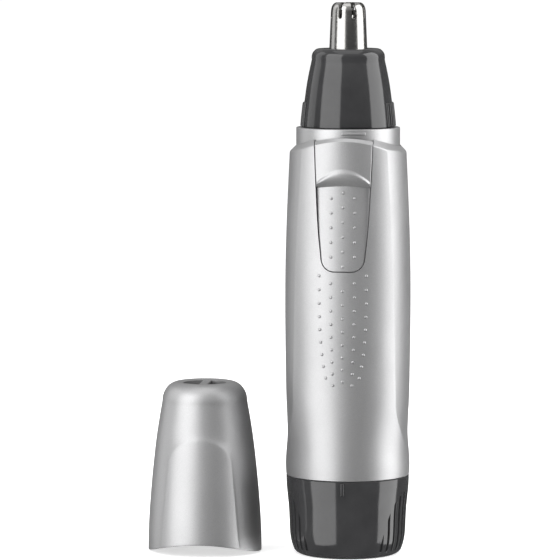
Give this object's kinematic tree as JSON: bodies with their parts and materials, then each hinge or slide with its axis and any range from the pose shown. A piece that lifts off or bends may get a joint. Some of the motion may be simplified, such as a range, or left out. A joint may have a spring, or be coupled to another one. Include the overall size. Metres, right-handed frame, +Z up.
{
  "type": "nose hair trimmer",
  "caption": "Battery nose hair trimmer with a slotted cutter head, thumb slide switch and twist-off battery cap, standing beside its protective cap.",
  "frame": {"origin": "centre of the trimmer's flat foot, on the surface that it stands on", "axes": "+Z up along the trimmer towards the cutter tip, -Y out of the front with the switch, -X towards the loose protective cap"},
  "size_m": [0.0623, 0.0298, 0.13],
  "materials": {
    "silver_paint": "silver metallic lacquer on moulded plastic, satin",
    "silver_chrome": "brighter silver lacquer on the collar",
    "dark_plastic": "glossy charcoal moulded plastic",
    "black_plastic": "matt black moulded plastic",
    "white_plastic": "matt natural nylon",
    "cutter_steel": "polished stainless steel",
    "motor_steel": "zinc plated steel",
    "magnet": "sintered ferrite, dull",
    "copper": "bare copper and phosphor bronze",
    "nickel": "bright nickel plate",
    "rubber": "soft black rubber",
    "cell_body": "dry cell, plain metal",
    "cell_sleeve": "printed film sleeve, plain colour"
  },
  "bodies": {
    "housing": {"housing_shell": "silver_paint", "neck_collar": "silver_chrome", "collar_screws": "motor_steel", "chassis_screws": "motor_steel", "shaft_seal": "rubber", "motor_cradle": "black_plastic", "battery_tube": "black_plastic", "motor_can": "motor_steel", "motor_bushing": "copper", "motor_end_cap": "white_plastic", "motor_terminals": "copper", "motor_brushes": "copper", "motor_magnets": "magnet", "positive_contact": "nickel", "negative_contact_strip": "nickel", "motor_contact_strip": "nickel", "battery_can": "cell_body", "battery_sleeve": "cell_sleeve", "battery_positive_cap": "nickel"},
    "power_switch": {"switch_slider": "silver_paint", "switch_carrier": "black_plastic", "switch_contact": "copper"},
    "rotor": {"motor_shaft": "motor_steel", "motor_armature": "motor_steel", "motor_windings": "copper", "motor_commutator": "copper", "drive_coupler": "white_plastic", "cutter_stem": "white_plastic", "cutter_spring": "cutter_steel", "inner_cutter": "cutter_steel"},
    "cutter_head": {"nose_cone": "dark_plastic", "cutter_tube": "cutter_steel", "head_insert": "black_plastic", "head_o_ring": "rubber"},
    "battery_cap": {"battery_cap": "dark_plastic", "battery_spring": "nickel", "cap_contact_plate": "nickel", "battery_cap_o_ring": "rubber"},
    "protective_cap": {"protective_cap": "silver_paint"}
  },
  "joints": [
    {"name": "power_switch_slide", "type": "slide", "parent": "housing", "child": "power_switch", "axis": [0, 0, 1], "range_m": [0, 0.003]},
    {"name": "rotor_spin", "type": "hinge", "parent": "housing", "child": "rotor", "pos_m": [0, 0, 0.09], "axis": [0, 0, 1], "continuous": true},
    {"name": "cutter_head_pull", "type": "slide", "parent": "housing", "child": "cutter_head", "axis": [0, 0, 1], "range_m": [0, 0.036]},
    {"name": "battery_cap_twist", "type": "hinge", "parent": "housing", "child": "battery_cap", "pos_m": [0, 0, 0.01], "axis": [0, 0, -1], "range_deg": [0, 40]},
    {"name": "protective_cap_lift", "type": "slide", "parent": "housing", "child": "protective_cap", "axis": [0, 0, 1], "range_m": [0, 0.135]}
  ]
}
